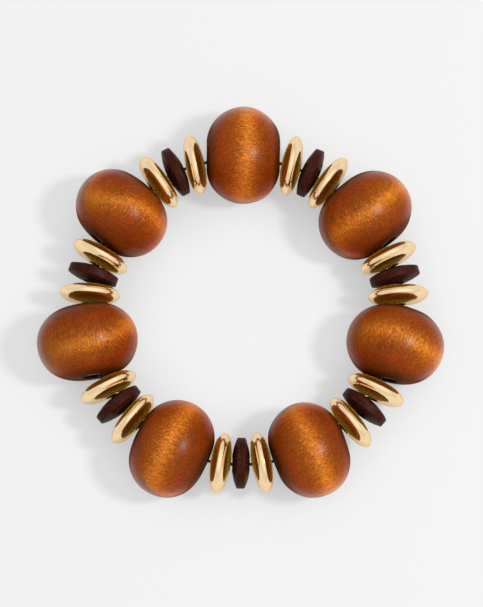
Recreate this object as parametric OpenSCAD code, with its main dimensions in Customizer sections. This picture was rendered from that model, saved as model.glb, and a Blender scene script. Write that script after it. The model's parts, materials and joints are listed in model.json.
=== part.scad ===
// Beaded stretch bracelet lying flat: seven large oblate wooden beads, and between
// each pair of them a gold disc, a dark wooden disc and a gold disc, on a thin elastic.
// Right-handed, millimetres, Z up. The origin is at the middle of the bracelet's
// bounding box, on the surface that the large beads rest on.

/* [String] */
// Radius of the ring through the middles of the large beads
wood_ring_r = 40.1; // [35:0.1:60]
// Radius of the ring through the middles of the discs
disc_ring_r = 39.6; // [35:0.1:60]
// Height of the middles of the discs, which hang on the elastic
disc_z = 11.8; // [10:0.1:13]
// Direction of the first large bead, counter-clockwise from +X
first_angle = 89.5; // [0:0.5:360]
// Angle between neighbouring discs in one gap
disc_step = 7.5; // [7:0.1:9]

/* [Large wooden beads] */
// Diameter of an average bead, across its bore
wood_d = 25; // [20:0.1:28]
// Length of an average bead, along its bore
wood_len = 19; // [15:0.1:21]
// Diameter of the bore
wood_bore_d = 5; // [3:0.1:6]
// Depth by which each end is cut flat
wood_end_cut = 0.05; // [0.02:0.01:0.5]
// Width of the chamfer at each mouth of the bore
wood_chamfer = 0.3; // [0.1:0.1:0.6]

/* [Gold discs] */
// Outer diameter
gold_d = 15.5; // [12:0.1:18]
// Thickness in the middle of an average one
gold_thick = 5; // [3:0.1:6]
// Radius of the rounded rim
gold_rim_r = 1; // [0.5:0.1:1.5]
// Radius of the flank between the rim and the face
gold_flank_r = 4; // [3:0.1:6]
// Angle from the disc's axis at which the rim and the flank meet
gold_join = 50; // [40:1:70]

/* [Dark wooden discs] */
// Outer diameter
dark_d = 12.9; // [10:0.1:15]
// Thickness in the middle of an average one
dark_thick = 4.6; // [3:0.1:6]
// Width of the straight rim
dark_rim = 2; // [1:0.1:3]

/* [Elastic] */
// Diameter of the elastic
elastic_d = 0.8; // [0.5:0.1:1.2]
// Radius of the loop that it runs in
elastic_ring_r = 39.6; // [35:0.1:60]
// Height of the loop
elastic_z = 12.2; // [11:0.1:13]
// How far the loop lies behind the middle of the ring of beads
elastic_back = -0.2; // [-0.5:0.1:0.5]
// Diameter of the bore of every disc
disc_bore_d = 3.6; // [2:0.1:4]

/* [Hidden] */
// Columns of the tables: distance along the string, distance outward and turn in plan,
// each from the regular place, counter-clockwise, then each table's own last columns.
ALONG = 0;
OUT = 1;
TURN = 2;
LEAN = 3;
THICKER = 4;
WIDER = 3;
LONGER = 4;

// Large beads, counter-clockwise from the first: WIDER and LONGER than the average bead.
WOOD = [
    [-0.2,  0.1,  0,  0.0, -0.2],
    [-0.1, -0.5,  0, -0.1, -0.6],
    [-0.2, -0.1, -3,  0.8, -0.6],
    [ 0.1, -0.2,  0,  0.4, -0.2],
    [ 0.2, -0.1, -4, -0.4, -0.4],
    [ 0.3,  0.1,  0,  0.0, -0.1],
    [-0.3,  0.0,  0,  0.2, -0.3],
];
// Discs after each large bead, three to a row: gold, dark, gold. LEAN lifts the end of the
// axis that points counter-clockwise, and THICKER is set against the average disc.
DISCS = [
    [[-0.25,  0.0, -6, -3,  0.0], [ -0.1,  0.1,  1,  0,  0.1], [-0.15, -0.1,  3,  0,  0.0]],
    [[-0.15, -1.0, -8,  0,  0.0], [ -0.2, -0.7, -5,  0, -0.2], [-0.15, -0.7,  2,  0,  0.0]],
    [[  0.0, -0.4, -4,  0,  0.0], [  0.0, -0.1,  1,  0,  0.0], [  0.0, -0.3,  5,  1,  0.0]],
    [[ 0.35,  0.1, -2,  2,  0.1], [  0.3, -0.2, -1,  0,  0.1], [  0.4,  0.0,  3,  0,  0.1]],
    [[ 0.25,  0.5, -5,  0,  0.1], [ 0.25,  0.5, -1,  0,  0.1], [  0.3,  0.4,  5,  0,  0.1]],
    [[ 0.35,  0.7, -1,  0, -0.1], [  0.1,  0.6,  3,  0, -0.1], [ -0.1,  0.4,  6,  0,  0.0]],
    [[ -0.2,  0.3, -2,  0,  0.1], [ -0.2,  0.3,  2,  0,  0.1], [-0.15,  0.1,  7,  0,  0.1]],
];
DISCS_IN_GAP = 3;
GAPS = len(WOOD);
STEP = 360 / GAPS;
RADIAN = 180 / PI;
ROUND = 96;

// A large bead is a circle swept round its bore: the circle's radius, and how far its
// middle is from the bore's axis.
function wood_size(i) = wood_d + WOOD[i][WIDER];
function wood_sweep_r(i) = (wood_len + WOOD[i][LONGER]) / 2 + wood_end_cut;
function wood_sweep_off(i) = wood_size(i) / 2 - wood_sweep_r(i);

// Where a bead sits on a ring of radius r, and which way its bore points in plan.
function station(angle, row, r) = angle + row[ALONG] / r * RADIAN;
function middle(angle, row, r, z) = let (a = station(angle, row, r), far = r + row[OUT])
    [far * cos(a), far * sin(a), z];
function heading(angle, row, r) = station(angle, row, r) + 90 + row[TURN];

function wood_angle(i) = first_angle + i * STEP;
function wood_middle(i) = middle(wood_angle(i), WOOD[i], wood_ring_r, wood_size(i) / 2);
function wood_heading(i) = heading(wood_angle(i), WOOD[i], wood_ring_r);
function disc_angle(gap, k) = first_angle + (gap + 0.5) * STEP + (k - 1) * disc_step;

// How far large bead i reaches from the ring's middle in the direction of angle a. The
// large beads reach past the discs all round, so they alone make the bounding box.
function reach(i, a) = let (m = wood_middle(i))
    m[0] * cos(a) + m[1] * sin(a) + wood_sweep_r(i)
    + wood_sweep_off(i) * abs(sin(wood_heading(i) - a));
function farthest(a) = max([for (i = [0 : GAPS - 1]) reach(i, a)]);
BOX_MIDDLE = [(farthest(0) - farthest(180)) / 2, (farthest(90) - farthest(270)) / 2, 0];

// Gold disc: rim, flank and face are arcs that run into each other. Each arc's middle is
// given by its distance from the axis and, for the upper half, its height.
gold_rim_x = gold_d / 2 - gold_rim_r;
gold_join_x = gold_rim_x + gold_rim_r * sin(gold_join);
gold_flank_x = gold_rim_x - (gold_flank_r - gold_rim_r) * sin(gold_join);
gold_flank_z = -(gold_flank_r - gold_rim_r) * cos(gold_join);

// Radius of an arc that rises by h over the half width x.
function dome_r(x, h) = (x ^ 2 + h ^ 2) / (2 * h);

// Turns a bead whose bore is along Z so that the bore follows the string, and puts it there.
module strung(place, direction, lean = 0) {
    translate(place - BOX_MIDDLE) rotate([0, 90 - lean, direction]) children();
}

// The half-plane outside a bore, cut off past the ends at height half.
module outside_bore(bore_d, half, reach_r) {
    translate([bore_d / 2, -half]) square([reach_r, 2 * half]);
}

// Two equal discs that cross: a lens with its middle on the axis at distance x.
module lens(x, z, r) {
    intersection() {
        translate([x, z]) circle(r = r, $fn = ROUND);
        translate([x, -z]) circle(r = r, $fn = ROUND);
    }
}

module wood_profile(i) {
    sweep_r = wood_sweep_r(i);
    off = wood_sweep_off(i);
    half = sweep_r - wood_end_cut;
    mouth = wood_bore_d / 2 + wood_chamfer;
    difference() {
        intersection() {
            union() {
                translate([off, 0]) circle(r = sweep_r, $fn = ROUND);
                translate([0, -half]) square([off, 2 * half]);
            }
            outside_bore(wood_bore_d, half, wood_d);
        }
        for (side = [-1, 1])
            polygon([[0, side * half], [mouth, side * half], [0, side * (half - mouth)]]);
    }
}

module wood_bead(i) {
    color("chocolate")
        strung(wood_middle(i), wood_heading(i))
        rotate_extrude($fn = ROUND) wood_profile(i);
}

module gold_profile(thick) {
    rise = thick / 2 - gold_flank_z;
    face_r = (gold_flank_x ^ 2 + rise ^ 2 - gold_flank_r ^ 2) / (2 * (rise - gold_flank_r));
    face_end = gold_flank_x * face_r / (face_r - gold_flank_r);
    intersection() {
        lens(0, thick / 2 - face_r, face_r);
        outside_bore(disc_bore_d, thick, gold_d);
        union() {
            translate([gold_rim_x, 0]) circle(r = gold_rim_r, $fn = ROUND);
            intersection() {
                lens(gold_flank_x, gold_flank_z, gold_flank_r);
                outside_bore(0, thick, gold_join_x);
            }
            outside_bore(0, thick, face_end);
        }
    }
}

// Dark disc: a straight rim between two domes.
module dark_profile(thick) {
    face_r = dome_r(dark_d / 2, (thick - dark_rim) / 2);
    intersection() {
        lens(0, thick / 2 - face_r, face_r);
        outside_bore(disc_bore_d, thick, (dark_d - disc_bore_d) / 2);
    }
}

// Disc k of a gap: the middle one is dark, the two beside it are gold.
module on_string(gap, k) {
    row = DISCS[gap][k];
    angle = disc_angle(gap, k);
    strung(middle(angle, row, disc_ring_r, disc_z), heading(angle, row, disc_ring_r), row[LEAN])
        rotate_extrude($fn = ROUND) children();
}

module gold_disc(number) {
    gap = floor(number / 2);
    k = (DISCS_IN_GAP - 1) * (number % 2);
    color("gold") on_string(gap, k) gold_profile(gold_thick + DISCS[gap][k][THICKER]);
}

module dark_disc(gap) {
    color("saddlebrown") on_string(gap, 1) dark_profile(dark_thick + DISCS[gap][1][THICKER]);
}

module elastic_cord() {
    color("black")
        translate([0, elastic_back, elastic_z] - BOX_MIDDLE)
        rotate_extrude($fn = ROUND) translate([elastic_ring_r, 0]) circle(d = elastic_d, $fn = ROUND);
}

wood_bead(0);  // wood_bead_1
wood_bead(1);  // wood_bead_2
wood_bead(2);  // wood_bead_3
wood_bead(3);  // wood_bead_4
wood_bead(4);  // wood_bead_5
wood_bead(5);  // wood_bead_6
wood_bead(6);  // wood_bead_7
gold_disc(0);  // gold_disc_1
gold_disc(1);  // gold_disc_2
gold_disc(2);  // gold_disc_3
gold_disc(3);  // gold_disc_4
gold_disc(4);  // gold_disc_5
gold_disc(5);  // gold_disc_6
gold_disc(6);  // gold_disc_7
gold_disc(7);  // gold_disc_8
gold_disc(8);  // gold_disc_9
gold_disc(9);  // gold_disc_10
gold_disc(10);  // gold_disc_11
gold_disc(11);  // gold_disc_12
gold_disc(12);  // gold_disc_13
gold_disc(13);  // gold_disc_14
dark_disc(0);  // dark_disc_1
dark_disc(1);  // dark_disc_2
dark_disc(2);  // dark_disc_3
dark_disc(3);  // dark_disc_4
dark_disc(4);  // dark_disc_5
dark_disc(5);  // dark_disc_6
dark_disc(6);  // dark_disc_7
elastic_cord();
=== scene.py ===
"""Looks of a beaded stretch bracelet that lies flat on a pale table, seen from 80 degrees above it.

The large wooden beads, the gold discs and the dark wooden discs are turned anew round the bores of
their CAD nodes, and replace them. The elastic keeps its CAD node and gets a finer material.
"""
import json
import math

import bpy
import numpy as np
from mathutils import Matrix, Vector

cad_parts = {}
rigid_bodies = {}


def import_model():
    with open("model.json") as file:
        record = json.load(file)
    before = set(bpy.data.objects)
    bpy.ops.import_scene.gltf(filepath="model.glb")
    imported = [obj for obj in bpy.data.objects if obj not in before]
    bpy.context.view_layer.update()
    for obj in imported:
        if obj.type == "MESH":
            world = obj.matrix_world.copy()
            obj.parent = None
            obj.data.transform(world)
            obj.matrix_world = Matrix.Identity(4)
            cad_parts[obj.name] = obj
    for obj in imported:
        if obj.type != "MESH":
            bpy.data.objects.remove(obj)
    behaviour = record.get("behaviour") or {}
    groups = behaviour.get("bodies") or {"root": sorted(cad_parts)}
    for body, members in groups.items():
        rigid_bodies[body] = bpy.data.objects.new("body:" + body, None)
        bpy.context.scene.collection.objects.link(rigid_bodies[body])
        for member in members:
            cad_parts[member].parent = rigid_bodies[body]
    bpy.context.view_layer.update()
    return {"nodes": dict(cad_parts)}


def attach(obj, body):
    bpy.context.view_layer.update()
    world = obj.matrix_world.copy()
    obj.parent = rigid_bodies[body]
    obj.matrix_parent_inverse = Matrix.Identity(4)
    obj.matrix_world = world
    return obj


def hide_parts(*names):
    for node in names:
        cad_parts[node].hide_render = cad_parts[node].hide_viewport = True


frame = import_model()

MM = 0.001
SEED = 7

# Middle of the ring of beads, a little beside the middle of the bracelet's box
RING_MIDDLE = Vector((0.18, -2.25, 0.0)) * MM
RING_MIDDLE_MM = np.array(RING_MIDDLE) / MM

# Large bead, in millimetres: how much of the swept circle its flat ends cut off, and the chamfer
# round the bore's mouths
WOOD_END_CUT = 0.05
WOOD_CHAMFER = 0.3
# Gold disc, in millimetres: radii of its rim and flank, the angle at which they meet, and the depth
# and width of the soft lip round the bore
GOLD_RIM_R = 1.0
GOLD_FLANK_R = 4.0
GOLD_JOIN = math.radians(50)
GOLD_LIP = (0.1, 0.12)
# Dark disc, in millimetres: width of its straight rim, softness of the rim's corners, and the lip
DARK_RIM = 2.0
DARK_CORNER = 0.22
DARK_LIP = (0.15, 0.2)

# Points on each arc of an outline, and down the bore
SWEEP_POINTS = 90
FACE_POINTS = 22
FLANK_POINTS = 14
RIM_POINTS = 12
DOME_POINTS = 26
WOOD_BORE_POINTS = 8
DISC_BORE_POINTS = 4

# Steps round the bore, and the uneven turning: its seed, depth in millimetres, number of waves and
# most turns of a wave
WOOD_SIDES = 160
WOOD_RELIEF = (SEED, 0.04, 9, 4)
DISC_SIDES = 144
GOLD_RELIEF = (SEED + 50, 0.006, 10, 6)
DARK_RELIEF = (SEED + 90, 0.02, 10, 9)
# Millimetres by which the grain of one piece may be moved against that of another
GRAIN_SHIFT = 200

# Bright band of each large bead: its place along the bore (sine) at the inner and the outer side,
# the angle round the bore (degrees) where it changes over, how softly, and a bulge there
BANDS = [
    (-0.02, -0.03, 0, 30, -0.08),
    (-0.40, 0.38, 4, 26, 0.0),
    (-0.30, 0.28, -44, 26, 0.0),
    (0.02, -0.10, -25, 25, 0.0),
    (-0.03, 0.08, -8, 25, 0.0),
    (-0.04, -0.18, -5, 30, 0.25),
    (-0.05, 0.02, 10, 40, -0.14),
]
BULGE_REACH = 38
# The fibres of the bright band face this way, half way between the camera and the key light. This
# fades in from underneath, over a range of the cosine between this way and a point's way out from
# the bore, and the fibres' lean is worked out with no smaller cosine than the last value here
BAND_FACING = np.array([0.29, -0.11, 0.95])
FADE_FROM = -0.4
FADE_OVER = 0.6
LEAST_COSINE = 0.25
# Away from the band the fibres turn toward the bore by this share of what the surface does
BAND_SQUEEZE = 0.55
# How far the fibres sway toward the bore, and how fast the colour deepens with the angle (radians)
# off the band: lighter in the band as a painted highlight, deeper off it as stain
FIBRE_RIPPLE = 0.65
BAND_LIGHT_AND_STAIN_SPREAD = 0.7
# How far a face has to turn to the bore (sine) before the bead's end begins, on top and underneath,
# and the height of a point's way out from the bore below which the first changes to the second
# The bead's end is darkened as painted shade; as it begins sooner underneath, the underside is
# darker
END_FROM = 0.62
END_FROM_BELOW = 0.1
BELOW_FROM = 0.4
# The bead counts as bore up to this far out from the bore's wall, in millimetres
BORE_MARGIN = 0.12

# Camera, in pixels: the photograph's size, the focal length and where the ring's middle shows
PHOTO_W = 483
PHOTO_H = 607
FOCAL_PX = 3528.0
AIM_PX = (241.1, 309.85)
PX_PER_MM = 3.92
# The sensor's width in millimetres, the camera's distance in metres, and the height of its aim
SENSOR = 36.0
ELEVATION = math.radians(80)
DISTANCE = 0.9
AIM_HEIGHT = 12.0 * MM

# Lights, in metres and watts: place, width and power
BEAD_KEY = ((0.57, -0.05, 0.82), 0.2, 8.3)
TABLE_KEY = ((0.50, -0.05, 0.865), 0.13, 28.0)
# The sky is brightest round this direction. Its brightness goes by the cosine of the angle to it
OVERHEAD = (0.30, 0.0, 0.95)
SKY = [(0.0, 0.8), (0.6, 0.78), (0.97, 1.15)]

TABLE_HALF = 3.0
TABLE_GREY = 0.06
# The table's own pale glow by how open it lies, from under the beads to clear of them, and how far
# off a bead still closes it in. The dimmer glow near the beads paints their shade on the table
TABLE_GLOW = [(0.3, 0.46), (0.5, 0.59), (0.7, 0.67), (0.85, 0.70), (1.0, 0.705)]
SHADE_REACH = 18.0 * MM


# Outlines: points of a section, as (along the bore, from the bore's axis), in millimetres

def bead_pose(node):
    """Middle, unit axis, length, outer and bore diameter of a round CAD node, in millimetres."""
    mesh = frame["nodes"][node].data
    points = np.empty(len(mesh.vertices) * 3)
    mesh.vertices.foreach_get("co", points)
    points = points.reshape(-1, 3) / MM
    mesh.calc_loop_triangles()
    corners = np.empty(len(mesh.loop_triangles) * 3, dtype=np.int64)
    mesh.loop_triangles.foreach_get("vertices", corners)
    tri = points[corners.reshape(-1, 3)]
    area = np.linalg.norm(np.cross(tri[:, 1] - tri[:, 0], tri[:, 2] - tri[:, 0]), axis=1)
    centres = tri.mean(axis=1)
    middle = (centres * area[:, None]).sum(axis=0) / area.sum()
    spread = centres - middle
    # The spread is the same all ways round the bore, so the odd one out points along it
    values, vectors = np.linalg.eigh((spread * area[:, None]).T @ spread)
    axis = vectors[:, int(np.argmax(np.abs(values - np.median(values))))]
    out = middle - RING_MIDDLE_MM
    round_ring = np.array([-out[1], out[0], 0.0])
    if axis @ round_ring < 0:
        axis = -axis
    along = (points - middle) @ axis
    far = np.linalg.norm(points - middle - along[:, None] * axis, axis=1)
    return {
        "middle": middle,
        "axis": axis,
        "length": along.max() - along.min(),
        "outer": 2 * far.max(),
        "bore": 2 * far.min(),
    }


def arc(cx, cy, r, start, end, count):
    """Points of an arc; its angles are in degrees from the axis."""
    angles = np.radians(np.linspace(start, end, count))
    return [(cx + r * math.cos(a), cy + r * math.sin(a)) for a in angles]


def bore_points(half, bore_r, count):
    """Points down the bore, from the far mouth back to the near one."""
    return [(-half + 2 * half * t, bore_r) for t in np.linspace(0, 1, count)]


def wood_outline(pose):
    """Large bead: a swept circle, flat round the bore's mouths, with small chamfers there."""
    half = pose["length"] / 2
    sweep_r = half + WOOD_END_CUT
    off = pose["outer"] / 2 - sweep_r
    bore_r = pose["bore"] / 2
    flat_r = off + math.sqrt(sweep_r**2 - half**2)
    cut = math.degrees(math.acos(half / sweep_r))
    mouth = bore_r + WOOD_CHAMFER
    # The chamfer is bent once, and rounded where it meets the flat end
    near = [
        (half - WOOD_CHAMFER, bore_r),
        (half - WOOD_CHAMFER * 0.45, bore_r + WOOD_CHAMFER * 0.35),
        (half - 0.02, mouth),
        (half, (mouth + flat_r) / 2),
    ]
    side = arc(0, off, sweep_r, cut, 180 - cut, SWEEP_POINTS)
    far = [(-x, r) for x, r in reversed(near)]
    bore = bore_points(half - WOOD_CHAMFER, bore_r, WOOD_BORE_POINTS)[1:-1]
    return near + side + far + bore


def middle_thickness(pose, face_radius):
    """How thick a disc would be at its axis, from its length at the edge of its bore."""
    bore_r = pose["bore"] / 2
    thick = pose["length"]
    # The face's radius and the thickness depend on each other, and settle within a few rounds
    for _ in range(8):
        face_r = face_radius(thick)
        thick = pose["length"] + 2 * (face_r - math.sqrt(face_r**2 - bore_r**2))
    return thick


def both_sides(half_outline, bore_r, lip_depth):
    """Closed outline of a disc, from its near half that runs from the bore's lip to the rim."""
    other = [(-x, r) for x, r in reversed(half_outline[:-1])]
    inside = half_outline[0][0] - lip_depth
    return half_outline + other + bore_points(inside, bore_r, DISC_BORE_POINTS)


def gold_outline(pose):
    """Gold disc: rim, flank and face arcs that run into each other."""
    tip_y = pose["outer"] / 2 - GOLD_RIM_R
    flank_y = tip_y - (GOLD_FLANK_R - GOLD_RIM_R) * math.sin(GOLD_JOIN)
    flank_x = -(GOLD_FLANK_R - GOLD_RIM_R) * math.cos(GOLD_JOIN)

    def face_radius(thick):
        rise = thick / 2 - flank_x
        return (flank_y**2 + rise**2 - GOLD_FLANK_R**2) / (2 * (rise - GOLD_FLANK_R))

    thick = middle_thickness(pose, face_radius)
    face_r = face_radius(thick)
    bore_r = pose["bore"] / 2
    lip_depth, lip_width = GOLD_LIP
    lip = math.degrees(math.asin((bore_r + lip_width) / face_r))
    turn = math.degrees(math.asin(flank_y / (face_r - GOLD_FLANK_R)))
    join = math.degrees(GOLD_JOIN)
    half_outline = arc(thick / 2 - face_r, 0, face_r, lip, turn, FACE_POINTS)
    half_outline += arc(flank_x, flank_y, GOLD_FLANK_R, turn, join, FLANK_POINTS)[1:]
    half_outline += arc(0, tip_y, GOLD_RIM_R, join, 90, RIM_POINTS)[1:]
    return both_sides(half_outline, bore_r, lip_depth)


def dark_outline(pose):
    """Dark disc: a straight rim with softened corners between two domes."""
    outer_r = pose["outer"] / 2

    def face_radius(thick):
        dome_h = (thick - DARK_RIM) / 2
        return (outer_r**2 + dome_h**2) / (2 * dome_h)

    thick = middle_thickness(pose, face_radius)
    dome_r = face_radius(thick)
    bore_r = pose["bore"] / 2
    lip_depth, lip_width = DARK_LIP
    start = math.degrees(math.asin((bore_r + lip_width) / dome_r))
    end = math.degrees(math.asin((outer_r - DARK_CORNER) / dome_r))
    corner_x = DARK_RIM / 2
    rim = [
        (corner_x - DARK_CORNER * 0.05, outer_r - DARK_CORNER * 0.22),
        (corner_x - DARK_CORNER * 0.8, outer_r),
        (corner_x / 2, outer_r),
        (0, outer_r),
    ]
    dome = arc(thick / 2 - dome_r, 0, dome_r, start, end, DOME_POINTS)
    return both_sides(dome + rim, bore_r, lip_depth)


# Turned pieces

def smooth_noise(seed, u, v, waves, reach):
    """Sum of a few slow waves round (u, in turns) and along (v), mostly between -1 and 1."""
    rng = np.random.default_rng(seed)
    total = np.zeros(np.broadcast(u, v).shape)
    for _ in range(waves):
        round_count = rng.integers(0, reach + 1)
        along = rng.uniform(-reach, reach)
        phase = rng.uniform(0, 2 * math.pi)
        total = total + np.cos(2 * math.pi * (round_count * u + along * v) + phase)
    return total / math.sqrt(waves)


def outline_normals(outline):
    """Unit normals of a closed outline, pointing out of the solid."""
    step = np.roll(outline, -1, axis=0) - np.roll(outline, 1, axis=0)
    normals = np.stack([step[:, 1], -step[:, 0]], axis=-1)
    normals /= np.linalg.norm(normals, axis=1)[:, None]
    return -normals if normals[np.argmax(outline[:, 1]), 1] < 0 else normals


def add_vector(mesh, name, values):
    layer = mesh.attributes.new(name, "FLOAT_VECTOR", "POINT")
    layer.data.foreach_set("vector", np.ascontiguousarray(values, dtype=np.float32).reshape(-1))


def make_outward(mesh):
    """Flips the faces if they point into the solid."""
    middle = sum((v.co for v in mesh.vertices), Vector()) / len(mesh.vertices)
    far = max(mesh.polygons, key=lambda p: (p.center - middle).length)
    if far.normal.dot(far.center - middle) < 0:
        mesh.flip_normals()


def turned(name, pose, outline, sides, relief, marks=None):
    """A piece turned round its bore from a closed outline, with a slight relief pushed out of it.

    marks gets the mesh and a table of its grid, one row for each point of the outline and one
    column for each side, and writes what the material reads beside the grain.
    """
    outline = np.array(outline)
    count = len(outline)
    along, off_axis = outline[:, :1], outline[:, 1:]
    normals = outline_normals(outline)
    axis = pose["axis"]
    up = np.array([0.0, 0.0, 1.0])
    up = up - (up @ axis) * axis
    up /= np.linalg.norm(up)
    across = np.cross(axis, up)
    turn = np.arange(sides)[None, :] / sides
    path = np.arange(count)[:, None] / count
    angle = 2 * math.pi * turn
    radial = np.cos(angle)[..., None] * up + np.sin(angle)[..., None] * across

    seed, depth, waves, reach = relief
    push = depth * smooth_noise(seed, turn, path, waves, reach)
    x = along + push * normals[:, :1]
    r = off_axis + push * normals[:, 1:]
    points = pose["middle"] + x[..., None] * axis + r[..., None] * radial
    index = np.arange(count * sides).reshape(count, sides)
    below = np.roll(index, -1, axis=0)
    faces = [index, np.roll(index, -1, axis=1), np.roll(below, -1, axis=1), below]
    faces = np.stack(faces, axis=-1)
    mesh = bpy.data.meshes.new(name)
    mesh.from_pydata((points.reshape(-1, 3) * MM).tolist(), [], faces.reshape(-1, 4).tolist())
    mesh.polygons.foreach_set("use_smooth", [True] * len(mesh.polygons))

    rng = np.random.default_rng(SEED + sum(map(ord, name)))
    shift = rng.uniform(-GRAIN_SHIFT, GRAIN_SHIFT, 3)
    add_vector(mesh, "grain", np.stack([
        np.broadcast_to(along, (count, sides)) + shift[0],
        off_axis * np.cos(angle) + shift[1],
        off_axis * np.sin(angle) + shift[2],
    ], axis=-1))
    if marks:
        marks(mesh, {
            "pose": pose,
            "shape": (count, sides),
            "along": along,
            "off_axis": off_axis,
            "normals": normals,
            "angle": angle,
            "radial": radial,
            "ring_dir": -np.sin(angle)[..., None] * up + np.cos(angle)[..., None] * across,
            "rng": rng,
        })
    mesh.update()
    make_outward(mesh)
    piece = bpy.data.objects.new(name, mesh)
    bpy.context.scene.collection.objects.link(piece)
    return piece


def mark_turning(mesh, grid):
    """Writes each point's place in the section, and a chance value for the whole piece."""
    shape = grid["shape"]
    add_vector(mesh, "shape", np.stack([
        np.broadcast_to(grid["along"], shape),
        np.broadcast_to(grid["off_axis"], shape),
        np.full(shape, grid["rng"].uniform(0, 1)),
    ], axis=-1))


def mark_fibres(mesh, grid):
    """Writes which way the wood's fibres run and face, and where the bore and the ends are."""
    pose, shape, radial = grid["pose"], grid["shape"], grid["radial"]
    axis = pose["axis"]
    toward_bore, toward_side = grid["normals"][:, :1], grid["normals"][:, 1:]
    off_band, facing = fibre_facing(pose, toward_bore, grid["angle"], radial)
    in_bore = np.broadcast_to(grid["off_axis"] < pose["bore"] / 2 + BORE_MARGIN, shape)
    # Underneath, the end's painted shade begins sooner
    below = np.clip(BELOW_FROM - radial[..., 2], 0, 1)
    begins = END_FROM + (END_FROM_BELOW - END_FROM) * below
    at_end = np.clip((np.abs(toward_bore) - begins) / (1 - begins), 0, 1)
    # What looks at the bore's axis is the bore's wall, and counts as end
    at_end = np.where(toward_side < -0.01, 1.0, at_end * at_end * (3 - 2 * at_end))
    true_normal = toward_bore[..., None] * axis + toward_side[..., None] * radial
    facing = facing + at_end[..., None] * (true_normal - facing)
    # Painted shade: the side of the bead that faces the ring's middle is darkened by this
    out = pose["middle"] - RING_MIDDLE_MM
    out = np.array([out[0], out[1], 0.0]) / math.hypot(out[0], out[1])
    to_ring_middle = np.broadcast_to(np.clip(-(radial @ out), 0, 1), shape)
    add_vector(mesh, "ring_dir", np.broadcast_to(grid["ring_dir"], shape + (3,)))
    add_vector(mesh, "bore_dir", np.broadcast_to(axis, shape + (3,)))
    add_vector(mesh, "facing", facing)
    add_vector(mesh, "side", np.stack([to_ring_middle] * 3, axis=-1))
    add_vector(mesh, "band", np.stack([off_band, in_bore, at_end], axis=-1))


def fibre_facing(pose, toward_bore, angle, radial):
    """How far each point lies from the bright band (radians), and the way its fibres face."""
    inner, outer, at, width, bulge = BANDS[pose["number"] - 1]
    degrees = (np.degrees(angle) + 180) % 360 - 180
    swing = np.tanh((degrees - at) / width)
    band = (inner + outer) / 2 + (outer - inner) / 2 * swing
    band = band + bulge * np.exp(-((degrees - at) / BULGE_REACH) ** 2)
    off_band = np.arcsin(np.clip(toward_bore, -1, 1)) - np.arcsin(band)
    band_to_bore = pose["axis"] @ BAND_FACING
    band_to_side = radial @ BAND_FACING
    faded_in = np.clip((band_to_side - FADE_FROM) / FADE_OVER, 0, 1)
    start = np.arctan(band_to_bore / np.maximum(band_to_side, LEAST_COSINE)) * faded_in
    lean = start + BAND_SQUEEZE * off_band
    facing = np.cos(lean)[..., None] * radial + np.sin(lean)[..., None] * pose["axis"]
    return off_band, facing


# Materials: the grain is in millimetres, first along the bore, and so are the noises' scales

def rgba(colour):
    """A grey level or an sRGB hex string to a linear colour."""
    if not isinstance(colour, str):
        return (colour, colour, colour, 1.0)
    parts = [int(colour[i:i + 2], 16) / 255 for i in (1, 3, 5)]
    linear = [p / 12.92 if p <= 0.04045 else ((p + 0.055) / 1.055) ** 2.4 for p in parts]
    return (*linear, 1.0)


class Graph:
    """A node tree, with a short call for each kind of node that is used here."""

    def __init__(self, tree):
        self.nodes = tree.nodes
        self.links = tree.links

    def feed(self, socket, value):
        """Links another node's output to a socket, or sets the socket's own value."""
        if isinstance(value, bpy.types.NodeSocket):
            self.links.new(value, socket)
        else:
            socket.default_value = rgba(value) if isinstance(value, str) else value

    def output(self, kind, name):
        return self.nodes.new(kind).outputs[name]

    def attribute(self, name):
        node = self.nodes.new("ShaderNodeAttribute")
        node.attribute_name = name
        return node.outputs["Vector"]

    def parts(self, vector):
        node = self.nodes.new("ShaderNodeSeparateXYZ")
        self.feed(node.inputs[0], vector)
        return node.outputs

    def scaled(self, vector, scale):
        node = self.nodes.new("ShaderNodeMapping")
        self.feed(node.inputs["Scale"], scale)
        self.feed(node.inputs["Vector"], vector)
        return node.outputs["Vector"]

    def noise(self, vector, scale, detail, rough, distortion=0.0):
        node = self.nodes.new("ShaderNodeTexNoise")
        self.feed(node.inputs["Scale"], scale)
        self.feed(node.inputs["Detail"], detail)
        self.feed(node.inputs["Roughness"], rough)
        self.feed(node.inputs["Distortion"], distortion)
        self.feed(node.inputs["Vector"], vector)
        return node.outputs["Fac"]

    def ramp(self, value, stops):
        """Turns a value into the grey levels or colours of the stops."""
        node = self.nodes.new("ShaderNodeValToRGB")
        elements = node.color_ramp.elements
        while len(elements) > 1:
            elements.remove(elements[-1])
        elements[0].position = stops[0][0]
        elements[0].color = rgba(stops[0][1])
        for position, colour in stops[1:]:
            elements.new(position).color = rgba(colour)
        self.feed(node.inputs["Fac"], value)
        return node.outputs["Color"]

    def math(self, operation, *values):
        node = self.nodes.new("ShaderNodeMath")
        node.operation = operation
        for socket, value in zip(node.inputs, values):
            self.feed(socket, value)
        return node.outputs["Value"]

    def vector_math(self, operation, *values):
        node = self.nodes.new("ShaderNodeVectorMath")
        node.operation = operation
        for socket, value in zip(node.inputs, values):
            self.feed(socket, value)
        return node

    def mixed(self, factor, first, second, blend="MIX"):
        node = self.nodes.new("ShaderNodeMix")
        node.data_type = "RGBA"
        node.blend_type = blend
        self.feed(node.inputs[0], factor)
        self.feed(node.inputs[6], first)
        self.feed(node.inputs[7], second)
        return node.outputs[2]

    def bump(self, height, strength, distance, normal=None):
        node = self.nodes.new("ShaderNodeBump")
        if normal is not None:
            self.feed(node.inputs["Normal"], normal)
        self.feed(node.inputs["Strength"], strength)
        self.feed(node.inputs["Distance"], distance)
        self.feed(node.inputs["Height"], height)
        return node.outputs["Normal"]


def new_material(name):
    material = bpy.data.materials.new(name)
    material.use_nodes = True
    graph = Graph(material.node_tree)
    return material, graph, graph.nodes["Principled BSDF"].inputs


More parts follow.
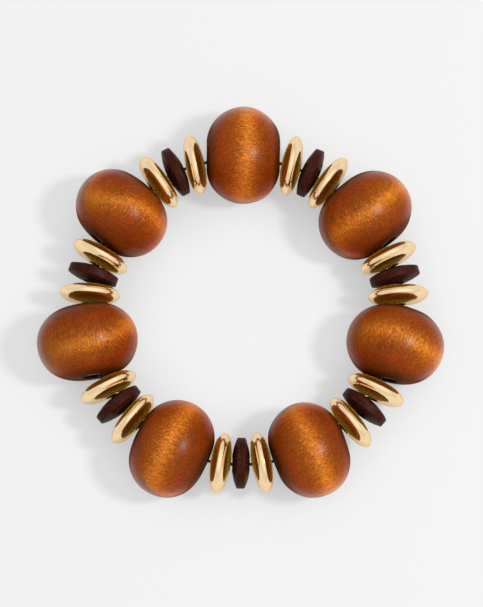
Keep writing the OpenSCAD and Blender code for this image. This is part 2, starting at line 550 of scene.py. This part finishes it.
def wood_material():
    """Dyed orange-brown wood under satin lacquer, whose fibres run along the bore."""
    material, graph, shader = new_material("orange_wood_lacquered")
    grain = graph.attribute("grain")
    side = graph.attribute("side")
    off_band, in_bore, at_end = graph.parts(graph.attribute("band"))
    fibres = graph.noise(graph.scaled(grain, (0.26, 1.0, 1.0)), 3.6, 3.0, 0.7)
    streaks = graph.noise(graph.scaled(grain, (0.10, 1.0, 1.0)), 0.9, 3.0, 0.5, 0.3)
    clouds = graph.noise(graph.scaled(grain, (0.5, 1.0, 1.0)), 0.16, 2.0, 0.5)

    # The colour is lightest in the bright band, a painted highlight, and the stain deepens off it
    off_band = graph.math("MULTIPLY", graph.math("ABSOLUTE", off_band), BAND_LIGHT_AND_STAIN_SPREAD)
    colour = graph.ramp(off_band, [
        (0.0, "#9d5917"), (0.18, "#9a4d09"), (0.5, "#9a3f06"), (0.74, "#883906"), (1.0, "#8a400d"),
    ])
    for tint in (
        graph.ramp(fibres, [(0.36, 0.64), (0.5, 0.95), (0.64, 1.4)]),
        graph.ramp(streaks, [(0.3, 0.87), (0.55, 1.0), (0.75, 1.1)]),
        graph.ramp(clouds, [(0.3, 0.85), (0.7, 1.0)]),
        # Painted shade: darker toward the ends, down to 0.45 at the bore's mouth
        graph.ramp(at_end, [(0.0, 1.0), (0.5, 0.85), (1.0, 0.45)]),
        # Painted shade on the side toward the ring's middle
        graph.ramp(side, [(0.1, "#ffffff"), (0.65, "#f3e3cc")]),
    ):
        colour = graph.mixed(1.0, colour, tint, "MULTIPLY")
    # The bore is painted nearly black, as painted shade
    graph.feed(shader["Base Color"], graph.mixed(in_bore, colour, "#1c0a04"))

    # The brushed shine of the fibres
    # No shine in the bore either, to keep its painted shade
    outside = graph.math("SUBTRACT", 1.0, in_bore)
    shine = graph.ramp(at_end, [(0.0, 0.65), (0.8, 0.5)])
    graph.feed(shader["Metallic"], graph.math("MULTIPLY", shine, outside))
    graph.feed(shader["Specular Tint"], (0.42, 0.4, 0.12, 1.0))
    graph.feed(shader["IOR"], 1.3)
    graph.feed(shader["Roughness"], graph.ramp(fibres, [(0.3, 0.58), (0.7, 0.52)]))
    graph.feed(shader["Anisotropic"], 0.97)
    graph.feed(shader["Tangent"], graph.attribute("ring_dir"))
    leans = graph.noise(graph.scaled(grain, (0.24, 1.1, 0.9)), 3.6, 3.0, 0.7)
    ripple = graph.math("MULTIPLY", graph.math("SUBTRACT", leans, 0.5), FIBRE_RIPPLE)
    wavy = graph.vector_math("SCALE", graph.attribute("bore_dir"))
    graph.feed(wavy.inputs["Scale"], ripple)
    facing = graph.vector_math("ADD", graph.attribute("facing"), wavy.outputs["Vector"])
    facing = graph.vector_math("NORMALIZE", facing.outputs["Vector"]).outputs["Vector"]
    graph.feed(shader["Normal"], graph.bump(fibres, 0.3, 0.1 * MM, facing))

    # The lacquer shows most at the outline; less at the ends and toward the ring's middle is
    # painted shade
    edge = graph.output("ShaderNodeLayerWeight", "Facing")
    lacquer = graph.ramp(edge, [
        (0.0, 0.28), (0.25, 0.17), (0.35, 0.22), (0.46, 0.38), (0.56, 0.68), (0.66, 1.0),
    ])
    lacquer = graph.math("MULTIPLY", lacquer, graph.ramp(at_end, [(0.0, 1.0), (0.8, 0.1)]))
    lacquer = graph.math("MULTIPLY", lacquer, graph.ramp(side, [(0.1, 1.0), (0.65, 0.72)]))
    graph.feed(shader["Coat Weight"], lacquer)
    graph.feed(shader["Coat Roughness"], 0.32)
    graph.feed(shader["Coat IOR"], 1.4)
    graph.feed(shader["Coat Normal"], graph.bump(clouds, 0.1, 0.1 * MM))
    return material


def gold_material():
    """Pale gold plating, mirror-polished, with a faint haze, soft dents and fine turning marks."""
    material, graph, shader = new_material("gold_polished")
    grain = graph.attribute("grain")
    haze = graph.noise(grain, 0.9, 4.0, 0.6)
    graph.feed(shader["Base Color"], graph.ramp(haze, [(0.3, "#fbdcab"), (0.7, "#ffe5b7")]))
    graph.feed(shader["Metallic"], 1.0)
    graph.feed(shader["Roughness"], graph.ramp(haze, [(0.3, 0.09), (0.75, 0.14)]))
    graph.feed(shader["Sheen Weight"], 1.0)
    graph.feed(shader["Sheen Roughness"], 0.4)
    graph.feed(shader["Sheen Tint"], (1.0, 0.46, 0.03, 1.0))
    dents = graph.noise(graph.scaled(grain, (1.0, 0.5, 0.5)), 0.45, 2.0, 0.4)
    marks = graph.noise(graph.scaled(graph.attribute("shape"), (2.2, 2.2, 60.0)), 1.0, 2.0, 0.5)
    dented = graph.bump(dents, 0.25, 0.1 * MM)
    graph.feed(shader["Normal"], graph.bump(marks, 0.35, 0.1 * MM, dented))
    return material


def dark_material():
    """Dark brown stained wood, satin, with open pores."""
    material, graph, shader = new_material("dark_wood_stained")
    grain = graph.attribute("grain")
    fibres = graph.noise(graph.scaled(grain, (1.0, 0.4, 1.0)), 1.6, 5.0, 0.6)
    pores = graph.noise(graph.scaled(grain, (2.0, 1.0, 2.0)), 3.2, 3.0, 0.7)
    stain = graph.ramp(fibres, [(0.3, "#200904"), (0.5, "#2e0f07"), (0.72, "#421b0b")])
    graph.feed(shader["Base Color"], stain)
    graph.feed(shader["Roughness"], graph.ramp(pores, [(0.35, 0.52), (0.65, 0.38)]))
    graph.feed(shader["IOR"], 1.15)
    graph.feed(shader["Normal"], graph.bump(pores, 0.4, 0.1 * MM))
    return material


def elastic_material():
    """Black stretch elastic with a slight waxy sheen."""
    material, graph, shader = new_material("black_elastic")
    where = graph.output("ShaderNodeTexCoord", "Object")
    strands = graph.noise(where, 2600.0, 2.0, 0.5)
    graph.feed(shader["Base Color"], graph.ramp(strands, [(0.35, "#050404"), (0.7, "#100e0d")]))
    graph.feed(shader["Roughness"], graph.ramp(strands, [(0.3, 0.5), (0.7, 0.35)]))
    graph.feed(shader["Normal"], graph.bump(strands, 0.3, 0.05 * MM))
    return material


def table_material():
    """Pale table that glows by itself, less where the beads close it in: painted shade round them.
    """
    material, graph, shader = new_material("pale_table")
    graph.feed(shader["Base Color"], rgba(TABLE_GREY))
    graph.feed(shader["Roughness"], 0.9)
    graph.feed(shader["Specular IOR Level"], 0.0)
    graph.feed(shader["Emission Color"], rgba(1.0))
    near = graph.nodes.new("ShaderNodeAmbientOcclusion")
    near.samples = 16
    graph.feed(near.inputs["Distance"], SHADE_REACH)
    graph.feed(shader["Emission Strength"], graph.ramp(near.outputs["AO"], TABLE_GLOW))
    return material


# Pieces

def build_pieces(kind, count, material, outline, sides, relief, marks=None):
    """Turns a finer piece for each CAD node of one kind, and puts it in the node's place."""
    seed, *waves = relief
    for number in range(1, count + 1):
        node = f"{kind}_{number}"
        pose = bead_pose(node)
        pose["number"] = number
        section = outline(pose)
        piece = turned(f"{node}_body", pose, section, sides, (seed + number, *waves), marks)
        piece.data.materials.append(material)
        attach(piece, "root")
        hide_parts(node)


def finish_elastic():
    elastic = frame["nodes"]["elastic_cord"]
    elastic.data.materials.clear()
    elastic.data.materials.append(elastic_material())


# Camera, lights and table

def build_camera():
    data = bpy.data.cameras.new("camera")
    data.sensor_fit = "HORIZONTAL"
    data.sensor_width = SENSOR
    data.lens = FOCAL_PX * SENSOR / PHOTO_W
    data.clip_start = 0.01
    data.clip_end = 20
    camera = bpy.data.objects.new("camera", data)
    bpy.context.scene.collection.objects.link(camera)
    back = Vector((0, -math.cos(ELEVATION), math.sin(ELEVATION)))
    right = Vector((1, 0, 0))
    up = back.cross(right)
    aim = RING_MIDDLE + Vector((0, 0, AIM_HEIGHT))
    aim += right * (PHOTO_W / 2 - AIM_PX[0]) / PX_PER_MM * MM
    aim += up * (AIM_PX[1] - PHOTO_H / 2) / PX_PER_MM * MM
    camera.location = aim + back * DISTANCE
    camera.rotation_euler = (math.pi / 2 - ELEVATION, 0, 0)
    bpy.context.scene.camera = camera


def build_world():
    world = bpy.data.worlds.new("studio")
    world.use_nodes = True
    graph = Graph(world.node_tree)
    direction = graph.output("ShaderNodeTexCoord", "Generated")
    overhead = graph.vector_math("DOT_PRODUCT", direction, OVERHEAD)
    background = graph.nodes["Background"].inputs
    graph.feed(background["Color"], graph.ramp(overhead.outputs["Value"], SKY))
    graph.feed(background["Strength"], 1.0)
    bpy.context.scene.world = world
    bpy.context.scene.view_settings.view_transform = "Standard"


def build_key(name, lamp_row, lit_name, pieces):
    """Square lamp aimed at the origin that lights the given pieces alone.

    The table and the wooden pieces have one each. The gold discs have none, because mirrors such
    as they are would throw sparks on the beads.
    """
    at, width, power = lamp_row
    data = bpy.data.lights.new(name, "AREA")
    data.shape = "SQUARE"
    data.size = width
    data.energy = power
    lamp = bpy.data.objects.new(name, data)
    lamp.location = at
    lamp.rotation_euler = (-Vector(at)).to_track_quat("-Z", "Y").to_euler()
    bpy.context.scene.collection.objects.link(lamp)
    lit = bpy.data.collections.new(lit_name)
    for piece in pieces:
        lit.objects.link(piece)
    lamp.light_linking.receiver_collection = lit


def build_table():
    half = TABLE_HALF
    corners = [(-half, -half, 0), (half, -half, 0), (half, half, 0), (-half, half, 0)]
    mesh = bpy.data.meshes.new("table")
    mesh.from_pydata(corners, [], [(0, 1, 2, 3)])
    mesh.materials.append(table_material())
    table = bpy.data.objects.new("table", mesh)
    bpy.context.scene.collection.objects.link(table)
    return table


build_camera()
build_world()
build_key("table_key", TABLE_KEY, "only_table", [build_table()])
build_pieces("wood_bead", 7, wood_material(),
             wood_outline, WOOD_SIDES, WOOD_RELIEF, mark_fibres)
build_pieces("gold_disc", 14, gold_material(),
             gold_outline, DISC_SIDES, GOLD_RELIEF, mark_turning)
build_pieces("dark_disc", 7, dark_material(),
             dark_outline, DISC_SIDES, DARK_RELIEF)
finish_elastic()
build_key("key_softbox", BEAD_KEY, "wooden_pieces", [
    piece for piece in bpy.context.scene.objects
    if piece.name.startswith(("wood_bead", "dark_disc", "elastic_cord"))
])
